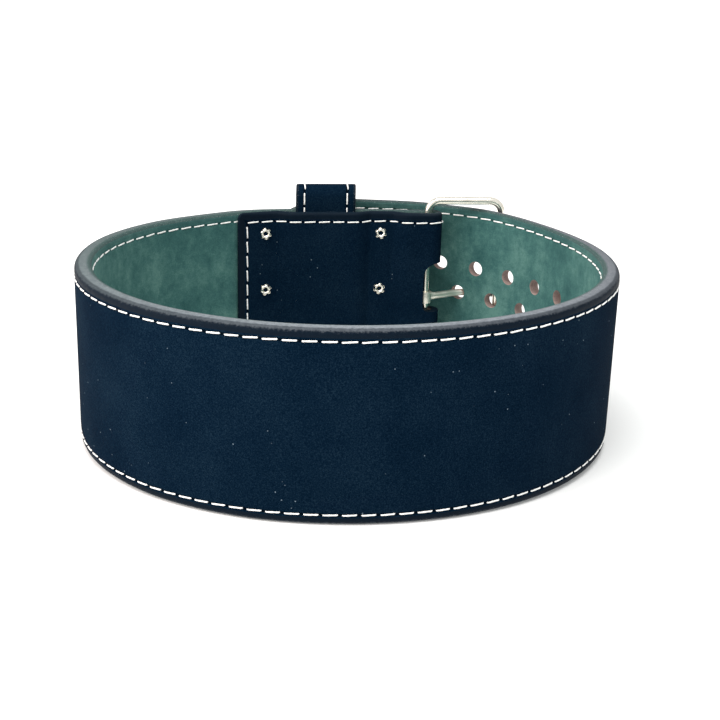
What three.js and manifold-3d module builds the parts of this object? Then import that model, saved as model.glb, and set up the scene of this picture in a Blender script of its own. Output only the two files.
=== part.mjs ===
// A prong weightlifting belt, buckled into its loop and standing on its lower edge.
// Millimetres, +Z up. The front of the belt faces -Y and the buckle is at the back.
import * as THREE from 'three';
import { mergeVertices } from 'three/addons/utils/BufferGeometryUtils.js';
import Module from 'manifold-3d';

const wasm = await Module();
wasm.setup();

// The belt: a suede skin on each face of a thick leather core
const LOOP_WIDTH = 303;
const LOOP_DEPTH = 295;
const BELT_HEIGHT = 100;
const BELT_THICKNESS = 10;
const SUEDE = 1.2;
const RIM_CHAMFER = 2.2;
const RIM_MARGIN = 1.2;
const CLEARANCE = 0.3;

// The free tip, which ends hidden behind the buckle end
const TIP_GAP = 18;
const TIP_ROUND = 60;
const TIP_THICKNESS = 6;
const TIP_PARING = 130;
const TIP_LIFT = 2.2;
const LIFT_RUN = 105;
const TIP_LEAN = 0.14;
const LEAN_RUN = 45;

// The buckle end: pared to a thin leaf, folded round the heel bar and riveted back on itself.
// The bar slides back a little way from the fold's end.
const LEAF = 5;
const FLAP_LENGTH = 129.8;
const FLAP_END_THICKNESS = 2.6;
const FLAP_PARING = 22;
const SKIVE_RUN = 46;
const LINING_UNDER_FLAP = 9;
const BAR_HOLD = 14;
const BAR_SLIDE = 1.6;

// The buckle: a rounded rectangle of round wire, whose left side is the heel bar
const WIRE = 5;
const FRAME_LENGTH = 48.5;
const WINDOW_PLAY = 4.7;
const FRAME_CORNER = 8;

// The prong, which turns on the heel bar and rests on the toe bar
const PRONG = 4.5;
const PRONG_EYE_WALL = 1.6;
const PRONG_EYE_HEIGHT = 8;
const PRONG_HOLE_FROM_BAR = 26.8;
const PRONG_OVERHANG = 8;
const SLOT_HEIGHT = 33;
const SLOT_CORNER = 9;

// The punched holes: two rows, half a pitch apart
const HOLE = 9.4;
const HOLE_PITCH = 26.4;
const HOLE_ROW_OFFSET = 9.5;
const HOLES_TOWARDS_TIP = 3;
const HOLES_TOWARDS_FRONT = 4;

// The rivets: one column near the heel bar and one near the flap's end, each of three
const RIVET_FROM_BAR = 32.6;
const RIVET_FROM_FLAP_END = 20.6;
const RIVET_FROM_TOP = 14;
const RIVET_FROM_BOTTOM = 11;
const RIVET_SHANK = 4.8;
const RIVET_BORE = 3;
const RIVET_CAP = 9.6;
const RIVET_CAP_HEIGHT = 1.5;
const RIVET_PETAL_SPREAD = 8;
const RIVET_PETAL_VALLEY = 6;
const RIVET_PETAL_HEIGHT = 0.9;
const RIVET_PRESS = 7.5;

// The keeper loop, held between the two leaves and passing over the tip, a little skew
const KEEPER_FROM_BAR = 69;
const KEEPER_WIDTH = 39;
const KEEPER_THICKNESS = 2.5;
const KEEPER_RISE = 15.7;
const KEEPER_BEND = 6;
const KEEPER_PLAY = 1.1;
const KEEPER_SKEW = 0.11;

// The outside of the loop from above, from the tip round to the heel bar.
// bearing: degrees from the front, positive to the right.
// reach: distance from the centre, as a share of half the loop's width and depth.
// tuck: how far the buckle end lies inside the tip, as a share of the tip's gap and thickness.
const PLAN = [
  { bearing: 206, reach: 1.11, tuck: 0 },
  { bearing: 195, reach: 1.062, tuck: 0 },
  { bearing: 180, reach: 1.042, tuck: 0 },
  { bearing: 160, reach: 1.06, tuck: 0 },
  { bearing: 140, reach: 1.038, tuck: 0 },
  { bearing: 120, reach: 0.999, tuck: 0 },
  { bearing: 100, reach: 0.987, tuck: 0 },
  { bearing: 80, reach: 0.98, tuck: 0 },
  { bearing: 60, reach: 0.969, tuck: 0 },
  { bearing: 40, reach: 0.961, tuck: 0 },
  { bearing: 20, reach: 0.958, tuck: 0 },
  { bearing: 0, reach: 0.97, tuck: 0 },
  { bearing: -20, reach: 0.996, tuck: 0 },
  { bearing: -40, reach: 1.022, tuck: 0 },
  { bearing: -60, reach: 1.033, tuck: 0 },
  { bearing: -80, reach: 1.025, tuck: 0 },
  { bearing: -100, reach: 1.003, tuck: 0 },
  { bearing: -120, reach: 0.962, tuck: 0 },
  { bearing: -140, reach: 0.938, tuck: 0.13 },
  { bearing: -151, reach: 0.968, tuck: 0.4 },
  { bearing: -162, reach: 1.0, tuck: 0.78 },
  { bearing: -174, reach: 1.03, tuck: 1 },
  { bearing: -187, reach: 1.049, tuck: 1.02 },
  { bearing: -199.8, reach: 1.06, tuck: 0.7 },
];

// How finely curves are cut into flat pieces
const TRACK_STEP = 1;
const STATION_STEP = 15;
const FOLD_STATIONS = 8;
const TIP_STATIONS = 7;
const WIRE_SIDES = 10;
const PRONG_STATIONS = 20;
const HOLE_SIDES = 12;
const RIVET_SIDES = 12;

const MATERIALS = {
  leather: new THREE.MeshStandardMaterial({ color: 0x3b4650, roughness: 0.6, metalness: 0 }),
  navy: new THREE.MeshStandardMaterial({ color: 0x0d2233, roughness: 0.95, metalness: 0 }),
  green: new THREE.MeshStandardMaterial({ color: 0x3e6e65, roughness: 0.95, metalness: 0 }),
  nickel: new THREE.MeshStandardMaterial({ color: 0xd9d6cc, roughness: 0.22, metalness: 1 }),
};

const MID_HEIGHT = BELT_HEIGHT / 2;
const HALF_THICKNESS = BELT_THICKNESS / 2;
const WIRE_RADIUS = WIRE / 2;
const PRONG_RADIUS = PRONG / 2;
const BAR_SPACE = WIRE + 2 * CLEARANCE;
const SKIN_DEPTH = SUEDE + CLEARANCE;
const KEEPER_SPACE = KEEPER_THICKNESS + 2 * KEEPER_PLAY;
const FRAME_DROP = WIRE + CLEARANCE;
const FRAME_TOP = BELT_HEIGHT + WINDOW_PLAY + WIRE;
const RIVET_COLUMNS = [RIVET_FROM_BAR, FLAP_LENGTH - RIVET_FROM_FLAP_END];
const RIVET_TOP_ROW = BELT_HEIGHT - RIVET_FROM_TOP;
const RIVET_ROWS = [RIVET_TOP_ROW, (RIVET_TOP_ROW + RIVET_FROM_BOTTOM) / 2, RIVET_FROM_BOTTOM];

const clampedShare = (value, from, to) => THREE.MathUtils.clamp((value - from) / (to - from), 0, 1);
const smoothShare = (value, from, to) => THREE.MathUtils.smoothstep(clampedShare(value, from, to), 0, 1);
const along = (point, direction, distance) => point.clone().addScaledVector(direction, distance);

// A line on the plan that can be asked for its place, heading and outward side at any length
function makeTrack(points) {
  const lengths = [0];
  for (let i = 1; i < points.length; i += 1) {
    lengths.push(lengths[i - 1] + points[i].distanceTo(points[i - 1]));
  }
  const length = lengths[lengths.length - 1];
  const place = (s) => {
    let low = 0;
    let high = points.length - 1;
    while (high - low > 1) {
      const middle = (low + high) >> 1;
      if (lengths[middle] > s) high = middle;
      else low = middle;
    }
    const share = (s - lengths[low]) / (lengths[high] - lengths[low]);
    return points[low].clone().lerp(points[high], THREE.MathUtils.clamp(share, 0, 1));
  };
  const at = (s) => {
    const before = place(Math.max(s - TRACK_STEP, 0));
    const after = place(Math.min(s + TRACK_STEP, length));
    const tangent = after.sub(before).normalize();
    return { s, point: place(s), tangent, normal: new THREE.Vector2(-tangent.y, tangent.x) };
  };
  return { length, place, at };
}

// The smooth line through the stations of the plan, on the outer face of the belt
function outerFacePoints() {
  const halfMean = (LOOP_WIDTH + LOOP_DEPTH) / 4;
  const tuckShare = (TIP_GAP + BELT_THICKNESS) / halfMean;
  const stations = PLAN.map(({ bearing, reach, tuck }) => {
    const angle = THREE.MathUtils.degToRad(bearing);
    const share = reach - tuck * tuckShare;
    const x = (LOOP_WIDTH / 2) * share * Math.sin(angle);
    const y = (-LOOP_DEPTH / 2) * share * Math.cos(angle);
    return new THREE.Vector2(x, y);
  });
  const curve = new THREE.SplineCurve(stations);
  return curve.getPoints((PLAN.length - 1) * 20);
}

// The belt's main run, on a line half a belt's thickness inside its outer face
function runTrack() {
  const face = makeTrack(outerFacePoints());
  const count = Math.ceil(face.length / TRACK_STEP);
  const points = [];
  for (let i = 0; i <= count; i += 1) {
    const { point, normal } = face.at((face.length * i) / count);
    points.push(along(point, normal, -HALF_THICKNESS));
  }
  return makeTrack(points);
}

const run = runTrack();
const barStation = run.at(run.length);
const foldCentre = along(barStation.point, barStation.normal, HALF_THICKNESS - LEAF - BAR_SPACE / 2);
const heelBar = along(foldCentre, barStation.tangent, -BAR_SLIDE);

// Thickness of the belt itself at a distance from the heel bar
function runThickness(fromBar) {
  const start = FLAP_LENGTH + 4 - SKIVE_RUN;
  return LEAF + (BELT_THICKNESS - LEAF) * smoothShare(fromBar, start, start + SKIVE_RUN);
}

// Thickness of the flap at a distance from the heel bar
function flapThickness(fromBar) {
  const pared = smoothShare(fromBar, FLAP_LENGTH - FLAP_PARING, FLAP_LENGTH);
  return LEAF + (FLAP_END_THICKNESS - LEAF) * pared;
}

// Space between the flap and the belt: wide at the bar, shut at the rivets, open for the keeper
function flapGap(fromBar) {
  const [near, far] = RIVET_COLUMNS;
  const rows = [
    { from: 0, gap: BAR_SPACE },
    { from: BAR_HOLD, gap: BAR_SPACE },
    { from: near - RIVET_PRESS, gap: CLEARANCE },
    { from: near + RIVET_PRESS, gap: CLEARANCE },
    { from: KEEPER_FROM_BAR - KEEPER_WIDTH / 2, gap: KEEPER_SPACE },
    { from: KEEPER_FROM_BAR + KEEPER_WIDTH / 2, gap: KEEPER_SPACE },
    { from: far - RIVET_PRESS, gap: CLEARANCE },
    { from: Math.max(far, FLAP_LENGTH) + 1, gap: CLEARANCE },
  ];
  const next = Math.max(1, rows.findIndex((row) => row.from > fromBar));
  const [a, b] = [rows[next - 1], rows[next]];
  return a.gap + (b.gap - a.gap) * smoothShare(fromBar, a.from, b.from);
}

// From the belt's outer face to the face of the flap folded back behind it
const foldedDepth = (fromBar) => runThickness(fromBar) + flapGap(fromBar) + flapThickness(fromBar);

// The whole strip from tip to flap end: the main run, half a turn round the bar, and the flap
function stripTrack() {
  const points = [];
  const runCount = Math.ceil(run.length / TRACK_STEP);
  for (let i = 0; i < runCount; i += 1) points.push(run.place((run.length * i) / runCount));
  const radius = BAR_SPACE / 2 + LEAF - HALF_THICKNESS;
  const first = barStation.normal.angle();
  const foldCount = Math.ceil((Math.PI * radius) / (TRACK_STEP / 2));
  for (let i = 0; i <= foldCount; i += 1) {
    const angle = first - (Math.PI * i) / foldCount;
    points.push(new THREE.Vector2(Math.cos(angle), Math.sin(angle)).multiplyScalar(radius).add(foldCentre));
  }
  const flapCount = Math.ceil(FLAP_LENGTH / TRACK_STEP);
  for (let i = 1; i <= flapCount; i += 1) {
    const fromBar = (FLAP_LENGTH * i) / flapCount;
    const { point, normal } = run.at(run.length - fromBar);
    points.push(along(point, normal, BELT_THICKNESS - foldedDepth(fromBar)));
  }
  const track = makeTrack(points);
  track.foldStart = run.length;
  track.foldEnd = run.length + Math.PI * radius;
  return track;
}

const strip = stripTrack();

// The toe bar lies against the outside of the tip, one frame's length from the heel bar
function findToeBar() {
  const offset = HALF_THICKNESS + CLEARANCE + WIRE_RADIUS;
  let station = run.at(0);
  for (let s = TIP_ROUND; s < run.length / 2; s += TRACK_STEP / 2) {
    const next = run.at(s);
    const ahead = next.point.x > heelBar.x;
    if (ahead && along(next.point, next.normal, offset).distanceTo(heelBar) > FRAME_LENGTH) {
      station = next;
      break;
    }
  }
  return { ...station, bar: along(station.point, station.normal, offset) };
}

// The hole that the prong uses lies at a set distance from the heel bar
function findProngHole(toe) {
  for (let s = toe.s; s > TIP_ROUND; s -= TRACK_STEP / 4) {
    if (run.place(s).distanceTo(heelBar) < PRONG_HOLE_FROM_BAR) return run.at(s);
  }
  return run.at(toe.s - FRAME_LENGTH / 2);
}

const toe = findToeBar();
const prongHole = findProngHole(toe);

// The tip rides a little high as far as the toe bar, and leans in at the top before it
function stripLift(s) {
  const end = toe.s + (LIFT_RUN * 2) / 5;
  return TIP_LIFT * (1 - smoothShare(s, end - LIFT_RUN, end));
}

function stripLean(s) {
  return TIP_LEAN * (1 - smoothShare(s, toe.s - LEAN_RUN, toe.s));
}

// Half the strip's height, which closes in a rounded point at the tip
function stripHalfHeight(s) {
  const share = THREE.MathUtils.clamp(1 - s / TIP_ROUND, 0, 1);
  return MID_HEIGHT * Math.sqrt(Math.max(1 - share * share, 0));
}

// A place in the strip: s along it, depth from its outer face, height above the lower edge
function stripPoint(s, depth, height) {
  const { point, normal } = strip.at(s);
  const out = HALF_THICKNESS - depth - stripLean(s) * (height - MID_HEIGHT);
  const plan = along(point, normal, out);
  return new THREE.Vector3(plan.x, plan.y, height + stripLift(s));
}

// The leather is pared thinner at the tip, from its inner face
function stripThickness(s) {
  const pared = (BELT_THICKNESS - TIP_THICKNESS) * (1 - smoothShare(s, toe.s, toe.s + TIP_PARING));
  if (s <= strip.foldStart) return runThickness(run.length - s) - pared;
  return flapThickness(THREE.MathUtils.clamp(s - strip.foldEnd, 0, FLAP_LENGTH));
}

// The lining ends under the flap, and the core fills its place just beyond
const liningEnd = run.length - FLAP_LENGTH + LINING_UNDER_FLAP;
const coreFilled = liningEnd + 2 * SKIN_DEPTH;

// Stations along part of the strip, closer at the tip's point, in the fold and on the flap
function stripStations(from, to) {
  const stations = [];
  for (let i = 1; i <= TIP_STATIONS; i += 1) {
    stations.push(TIP_ROUND * (1 - Math.cos(((i - 0.3) / TIP_STATIONS) * (Math.PI / 2))));
  }
  const mainCount = Math.round((strip.foldStart - TIP_ROUND) / STATION_STEP);
  for (let i = 1; i <= mainCount; i += 1) {
    stations.push(TIP_ROUND + ((strip.foldStart - TIP_ROUND) * i) / mainCount);
  }
  for (let i = 1; i <= FOLD_STATIONS; i += 1) {
    stations.push(strip.foldStart + ((strip.foldEnd - strip.foldStart) * i) / FOLD_STATIONS);
  }
  const flapCount = Math.round(FLAP_LENGTH / (STATION_STEP / 2));
  for (let i = 1; i <= flapCount; i += 1) {
    stations.push(strip.foldEnd + ((strip.length - strip.foldEnd) * i) / flapCount);
  }
  const shared = [liningEnd, coreFilled].filter((s) => s < to - 1);
  const start = Math.max(from, stations[0]);
  const clear = (s) => s > start + 1 && s < to - 1 && shared.every((key) => Math.abs(s - key) > 2);
  return [start, ...[...stations.filter(clear), ...shared].sort((a, b) => a - b), to];
}

// A closed body through rings of points; a looped body joins its last ring to its first.
// The diagonals of its faces all climb one way, so layers that follow each other twist alike.
function loft(rings, looped = false) {
  const sides = rings[0].length;
  const positions = rings.flat().flatMap((p) => [p.x, p.y, p.z]);
  const triangles = [];
  const spans = looped ? rings.length : rings.length - 1;
  for (let i = 0; i < spans; i += 1) {
    const here = i * sides;
    const there = ((i + 1) % rings.length) * sides;
    for (let j = 0; j < sides; j += 1) {
      const k = (j + 1) % sides;
      const climbs = rings[i][k].z >= rings[i][j].z;
      triangles.push([here + j, here + k, climbs ? there + k : there + j]);
      triangles.push([climbs ? here + j : here + k, there + k, there + j]);
    }
  }
  if (!looped) {
    const last = (rings.length - 1) * sides;
    for (let j = 1; j < sides - 1; j += 1) {
      triangles.push([0, j + 1, j], [last, last + j, last + j + 1]);
    }
  }
  const geometry = new THREE.BufferGeometry();
  geometry.setAttribute('position', new THREE.Float32BufferAttribute(positions, 3));
  const outward = enclosedVolume(positions, triangles) > 0;
  geometry.setIndex(triangles.flatMap(([a, b, c]) => (outward ? [a, b, c] : [a, c, b])));
  return geometry;
}

function enclosedVolume(positions, triangles) {
  const corner = (i) => new THREE.Vector3().fromArray(positions, i * 3);
  return triangles.reduce((sum, [a, b, c]) => sum + corner(a).dot(corner(b).cross(corner(c))) / 6, 0);
}

function toSolid(geometry) {
  const bare = geometry.clone();
  for (const name of Object.keys(bare.attributes)) {
    if (name !== 'position') bare.deleteAttribute(name);
  }
  const merged = mergeVertices(bare, 1e-4);
  return new wasm.Manifold(new wasm.Mesh({
    numProp: 3,
    vertProperties: new Float32Array(merged.attributes.position.array),
    triVerts: new Uint32Array(merged.index.array),
  }));
}

function toGeometry(solid) {
  const { vertProperties, triVerts } = solid.getMesh();
  const geometry = new THREE.BufferGeometry();
  geometry.setAttribute('position', new THREE.BufferAttribute(new Float32Array(vertProperties), 3));
  geometry.setIndex(new THREE.BufferAttribute(new Uint32Array(triVerts), 1));
  return geometry;
}

const cutAll = (geometry, cutters) => (
  toGeometry(cutters.reduce((solid, cutter) => solid.subtract(toSolid(cutter)), toSolid(geometry)))
);

// Turns a geometry whose axis is +Z so that +Z follows the outward side of the strip at s
function placeAcross(geometry, s, depth, height) {
  const outside = stripPoint(s, depth - 1, height);
  const inside = stripPoint(s, depth + 1, height);
  const zAxis = outside.sub(inside).normalize();
  const { tangent } = strip.at(s);
  const xAxis = new THREE.Vector3(tangent.x, tangent.y, 0);
  const yAxis = zAxis.clone().cross(xAxis).normalize();
  xAxis.crossVectors(yAxis, zAxis);
  const turn = new THREE.Matrix4().makeBasis(xAxis, yAxis, zAxis).setPosition(stripPoint(s, depth, height));
  return geometry.applyMatrix4(turn);
}

// A round cutter across the strip, from one depth to another
function boreAcross(s, height, diameter, sides, fromDepth, toDepth) {
  const bore = new THREE.CylinderGeometry(diameter / 2, diameter / 2, toDepth - fromDepth, sides);
  bore.rotateX(Math.PI / 2);
  return placeAcross(bore, s, (fromDepth + toDepth) / 2, height);
}

// The two rows of punched holes, counted from the one that holds the prong
function punchedHoles() {
  const cutters = [];
  for (let i = -HOLES_TOWARDS_TIP; i <= HOLES_TOWARDS_FRONT; i += 1) {
    const lower = prongHole.s + i * HOLE_PITCH;
    const upper = lower - HOLE_PITCH / 2;
    cutters.push(boreAcross(lower, MID_HEIGHT - HOLE_ROW_OFFSET, HOLE, HOLE_SIDES, -1, BELT_THICKNESS + 1));
    cutters.push(boreAcross(upper, MID_HEIGHT + HOLE_ROW_OFFSET, HOLE, HOLE_SIDES, -1, BELT_THICKNESS + 1));
  }
  return cutters;
}

// Each rivet's place, and its grip on the leather, which is measured where it is thickest
// under the petals
function rivetPlaces() {
  const places = [];
  const reach = RIVET_PETAL_SPREAD / 2;
  for (const fromBar of RIVET_COLUMNS) {
    const grip = Math.max(foldedDepth(fromBar - reach), foldedDepth(fromBar + reach));
    for (const height of RIVET_ROWS) places.push({ s: run.length - fromBar, height, grip });
  }
  return places;
}

function rivetBores() {
  const diameter = RIVET_SHANK + 2 * CLEARANCE;
  return rivetPlaces().map(({ s, height, grip }) => boreAcross(s, height, diameter, RIVET_SIDES, -1, grip + 1));
}

// The tall slot punched through the fold, in which the prong's eye sits on the bar
function prongSlot() {
  const left = -(WIRE_RADIUS + CLEARANCE + PRONG_EYE_WALL + CLEARANCE);
  const right = BAR_SLIDE + BAR_SPACE / 2 + LEAF + 4;
  const half = SLOT_HEIGHT / 2;
  const shape = new THREE.Shape();
  shape.moveTo(right, -half);
  shape.lineTo(right, half);
  shape.lineTo(left + SLOT_CORNER, half);
  shape.absarc(left + SLOT_CORNER, half - SLOT_CORNER, SLOT_CORNER, Math.PI / 2, Math.PI, false);
  shape.absarc(left + SLOT_CORNER, SLOT_CORNER - half, SLOT_CORNER, Math.PI, Math.PI * 1.5, false);
  const depth = 2 * LEAF + BAR_SPACE + 2;
  const slot = new THREE.ExtrudeGeometry(shape, { depth, bevelEnabled: false, curveSegments: 5 });
  const { tangent, normal } = barStation;
  const turn = new THREE.Matrix4().makeBasis(
    new THREE.Vector3(tangent.x, tangent.y, 0),
    new THREE.Vector3(0, 0, 1),
    new THREE.Vector3(-normal.x, -normal.y, 0),
  );
  const start = along(heelBar, normal, depth / 2);
  turn.premultiply(new THREE.Matrix4().makeTranslation(start.x, start.y, MID_HEIGHT));
  if (turn.determinant() < 0) slot.scale(1, -1, 1);
  return slot.applyMatrix4(turn);
}

// The core's ring at s: a rectangle with its four corners cut
function coreRing(s) {
  const lined = 1 - smoothShare(s, liningEnd, coreFilled);
  const outer = SKIN_DEPTH;
  const inner = stripThickness(s) - SKIN_DEPTH * lined;
  const half = stripHalfHeight(s);
  const cut = Math.min(RIM_CHAMFER, (inner - outer) / 3);
  const [low, high] = [MID_HEIGHT - half, MID_HEIGHT + half];
  const corners = [
    [outer, low + cut], [outer, high - cut], [outer + cut, high], [inner - cut, high],
    [inner, high - cut], [inner, low + cut], [inner - cut, low], [outer + cut, low],
  ];
  return corners.map(([depth, height]) => stripPoint(s, depth, height));
}

function skinRing(s, outer, inner) {
  const half = stripHalfHeight(s) - RIM_MARGIN;
  const [low, high] = [MID_HEIGHT - half, MID_HEIGHT + half];
  const corners = [[outer, low], [outer, high], [inner, high], [inner, low]];
  return corners.map(([depth, height]) => stripPoint(s, depth, height));
}

// The leather gives way where the frame's rounded corners and the prong press into it
const metalPress = () => [buckleFrame(WIRE_RADIUS + CLEARANCE), prongRod(PRONG_RADIUS + CLEARANCE)];

function strapCore() {
  const rings = stripStations(0, strip.length - CLEARANCE).map((s) => coreRing(s));
  return cutAll(loft(rings), [...punchedHoles(), ...rivetBores(), prongSlot(), ...metalPress()]);
}

function outerSuede() {
  const rings = stripStations(0, strip.length).map((s) => skinRing(s, 0, SUEDE));
  return cutAll(loft(rings), [...punchedHoles(), ...rivetBores(), prongSlot(), ...metalPress()]);
}

function liningSuede() {
  const inside = (s) => stripThickness(s);
  const rings = stripStations(0, liningEnd).map((s) => skinRing(s, inside(s) - SUEDE, inside(s)));
  return cutAll(loft(rings), [...punchedHoles(), ...metalPress()]);
}

// A circle of points round a centre, in the plane of two given directions
function circleRing(centre, right, up, radius, sides) {
  const ring = [];
  for (let i = 0; i < sides; i += 1) {
    const angle = (2 * Math.PI * i) / sides;
    const point = centre.clone().addScaledVector(right, radius * Math.cos(angle));
    ring.push(point.addScaledVector(up, radius * Math.sin(angle)));
  }
  return ring;
}

// The buckle frame's centre line: x along the frame from the heel bar, y is height
function frameOutline() {
  const [low, high] = [WIRE_RADIUS - FRAME_DROP, FRAME_TOP - WIRE_RADIUS];
  const corners = [
    { x: 0, y: low, start: 180 }, { x: FRAME_LENGTH, y: low, start: 270 },
    { x: FRAME_LENGTH, y: high, start: 0 }, { x: 0, y: high, start: 90 },
  ];
  const outline = [];
  for (const { x, y, start } of corners) {
    const cx = x + (x === 0 ? FRAME_CORNER : -FRAME_CORNER);
    const cy = y + (y === low ? FRAME_CORNER : -FRAME_CORNER);
    for (let i = 0; i <= 5; i += 1) {
      const angle = THREE.MathUtils.degToRad(start + (90 * i) / 5);
      const normal = new THREE.Vector2(Math.cos(angle), Math.sin(angle));
      outline.push({ x: cx + FRAME_CORNER * normal.x, y: cy + FRAME_CORNER * normal.y, normal });
    }
  }
  return outline;
}

function buckleFrame(radius = WIRE_RADIUS) {
  const direction = toe.bar.clone().sub(heelBar).normalize();
  const length = new THREE.Vector3(direction.x, direction.y, 0);
  const across = new THREE.Vector3(direction.y, -direction.x, 0);
  const rings = frameOutline().map(({ x, y, normal }) => {
    const centre = new THREE.Vector3(heelBar.x, heelBar.y, y).addScaledVector(length, x);
    const outward = length.clone().multiplyScalar(normal.x).setZ(normal.y);
    return circleRing(centre, outward, across, radius, WIRE_SIDES);
  });
  return loft(rings, true);
}

// The prong's height, and its route from its eye, through the hole and over the toe bar
const prongHeight = MID_HEIGHT - HOLE_ROW_OFFSET + stripLift(prongHole.s);

function prongRoute() {
  const start = prongHole.point.clone().sub(heelBar).normalize();
  const outside = HALF_THICKNESS + CLEARANCE + PRONG_RADIUS;
  const exit = run.at(prongHole.s + HOLE / 2 + 3.5);
  const onBar = along(toe.bar, toe.normal, WIRE_RADIUS + CLEARANCE + PRONG_RADIUS);
  const points = [
    along(heelBar, start, WIRE_RADIUS + CLEARANCE + PRONG_EYE_WALL / 2),
    along(heelBar, start, PRONG_HOLE_FROM_BAR * 0.55),
    along(prongHole.point, prongHole.tangent, 0.5),
    along(exit.point, exit.normal, outside),
    onBar,
    along(along(onBar, toe.tangent, PRONG_OVERHANG), toe.normal, -0.5),
  ];
  const route = points.map((p) => new THREE.Vector3(p.x, p.y, prongHeight));
  return new THREE.CatmullRomCurve3(route, false, 'centripetal');
}

function prongRod(radius = PRONG_RADIUS) {
  const route = prongRoute();
  const up = new THREE.Vector3(0, 0, 1);
  const rings = [];
  for (let i = 0; i <= PRONG_STATIONS; i += 1) {
    const share = i / PRONG_STATIONS;
    const tangent = route.getTangentAt(share);
    const side = new THREE.Vector3(tangent.y, -tangent.x, 0).normalize();
    const blunt = Math.sqrt(1 - 0.85 * clampedShare(share, 0.92, 1) ** 2);
    rings.push(circleRing(route.getPointAt(share), side, up, radius * blunt, WIRE_SIDES));
  }
  return loft(rings);
}

function prong() {
  const inner = WIRE_RADIUS + CLEARANCE;
  const outer = inner + PRONG_EYE_WALL;
  const half = PRONG_EYE_HEIGHT / 2;
  const profile = [[inner, -half], [outer, -half], [outer, half], [inner, half], [inner, -half]];
  const eye = new THREE.LatheGeometry(profile.map(([r, z]) => new THREE.Vector2(r, z)), 16);
  eye.rotateX(Math.PI / 2);
  eye.translate(heelBar.x, heelBar.y, prongHeight);
  const bar = new THREE.CylinderGeometry(inner, inner, PRONG_EYE_HEIGHT, 16);
  bar.rotateX(Math.PI / 2);
  bar.translate(heelBar.x, heelBar.y, prongHeight);
  return toGeometry(toSolid(prongRod()).subtract(toSolid(bar)).add(toSolid(eye)));
}

// A tubular rivet with its cap outside and its end split into six petals on the flap
function rivet(grip) {
  const shank = RIVET_SHANK / 2;
  const bore = RIVET_BORE / 2;
  const petal = RIVET_PETAL_SPREAD / 2;
  const cap = RIVET_CAP / 2;
  const capBase = CLEARANCE;
  const flapFace = -(grip + CLEARANCE);
  const profile = [
    [0, capBase + RIVET_CAP_HEIGHT], [cap * 0.7, capBase + RIVET_CAP_HEIGHT * 0.8], [cap, capBase],
    [shank, capBase], [shank, flapFace], [petal, flapFace], [petal * 0.9, flapFace - RIVET_PETAL_HEIGHT],
    [bore, flapFace - RIVET_PETAL_HEIGHT * 0.6], [bore, flapFace + grip / 2], [0, flapFace + grip / 2],
  ];
  const points = profile.reverse().map(([r, z]) => new THREE.Vector2(r, z));
  const lathe = new THREE.LatheGeometry(points, RIVET_SIDES);
  const position = lathe.attributes.position;
  for (let i = 0; i < position.count; i += 1) {
    const [x, y, z] = [position.getX(i), position.getY(i), position.getZ(i)];
    const angle = Math.atan2(z, x);
    const inValley = Math.round((angle / (2 * Math.PI)) * RIVET_SIDES + RIVET_SIDES) % 2 === 1;
    if (inValley && y <= flapFace && Math.hypot(x, z) > shank) {
      const share = RIVET_PETAL_VALLEY / RIVET_PETAL_SPREAD;
      position.setXYZ(i, x * share, y, z * share);
    }
  }
  return lathe.rotateX(Math.PI / 2);
}

// How far outside the belt's centre line the tip's outer face comes under the keeper, at a height
function tipReach(keeperStation, height) {
  let reach = 0;
  for (let s = TIP_ROUND / 3; s < toe.s; s += TRACK_STEP) {
    const point = stripPoint(s, 0, height);
    const offset = new THREE.Vector2(point.x, point.y).sub(keeperStation.point);
    if (Math.abs(offset.dot(keeperStation.tangent)) <= KEEPER_WIDTH / 2) {
      reach = Math.max(reach, offset.dot(keeperStation.normal));
    }
  }
  return reach;
}

// Rounds the corners of a closed outline with arcs of one radius
function roundedOutline(corners, radius, segments = 5) {
  const outline = [];
  corners.forEach((corner, i) => {
    const before = corners[(i + corners.length - 1) % corners.length].clone().sub(corner).normalize();
    const after = corners[(i + 1) % corners.length].clone().sub(corner).normalize();
    const half = Math.acos(THREE.MathUtils.clamp(before.dot(after), -1, 1)) / 2;
    const centre = along(corner, before.clone().add(after).normalize(), radius / Math.sin(half));
    const from = along(corner, before, radius / Math.tan(half)).sub(centre);
    const to = along(corner, after, radius / Math.tan(half)).sub(centre);
    const sweep = Math.atan2(from.cross(to), from.dot(to));
    for (let k = 0; k <= segments; k += 1) {
      const normal = from.clone().rotateAround(new THREE.Vector2(), (sweep * k) / segments).normalize();
      outline.push({ point: along(centre, normal, radius), normal });
    }
  });
  return outline;
}

// The keeper's closed band: up between the leaves, over the tip, down outside it and back below
function keeperLoop(tilt) {
  const station = run.at(run.length - KEEPER_FROM_BAR);
  const half = KEEPER_THICKNESS / 2;
  const innerLeaf = HALF_THICKNESS - LEAF - KEEPER_SPACE / 2;
  const spare = KEEPER_PLAY + half;
  const floor = -(along(station.point, station.normal, innerLeaf).y + LOOP_DEPTH / 2) * Math.tan(tilt);
  const low = floor + half;
  const shoulder = BELT_HEIGHT + TIP_LIFT + spare + 1.5;
  const corners = [
    new THREE.Vector2(innerLeaf, low),
    new THREE.Vector2(innerLeaf, BELT_HEIGHT + KEEPER_RISE + 1.5),
    new THREE.Vector2(tipReach(station, BELT_HEIGHT) + spare, shoulder),
    new THREE.Vector2(tipReach(station, 0) + spare, low),
  ];
  const across = new THREE.Vector3(station.tangent.x, station.tangent.y, 0);
  const rings = roundedOutline(corners, KEEPER_BEND).map(({ point, normal }) => (
    [[1, -1], [1, 1], [-1, 1], [-1, -1]].map(([out, side]) => {
      const local = along(point, normal, out * half);
      const plan = along(station.point, station.normal, local.x);
      const aside = (side * KEEPER_WIDTH) / 2 + (local.x - innerLeaf) * KEEPER_SKEW;
      return new THREE.Vector3(plan.x, plan.y, local.y).addScaledVector(across, aside);
    })
  ));
  return loft(rings, true);
}

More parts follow.
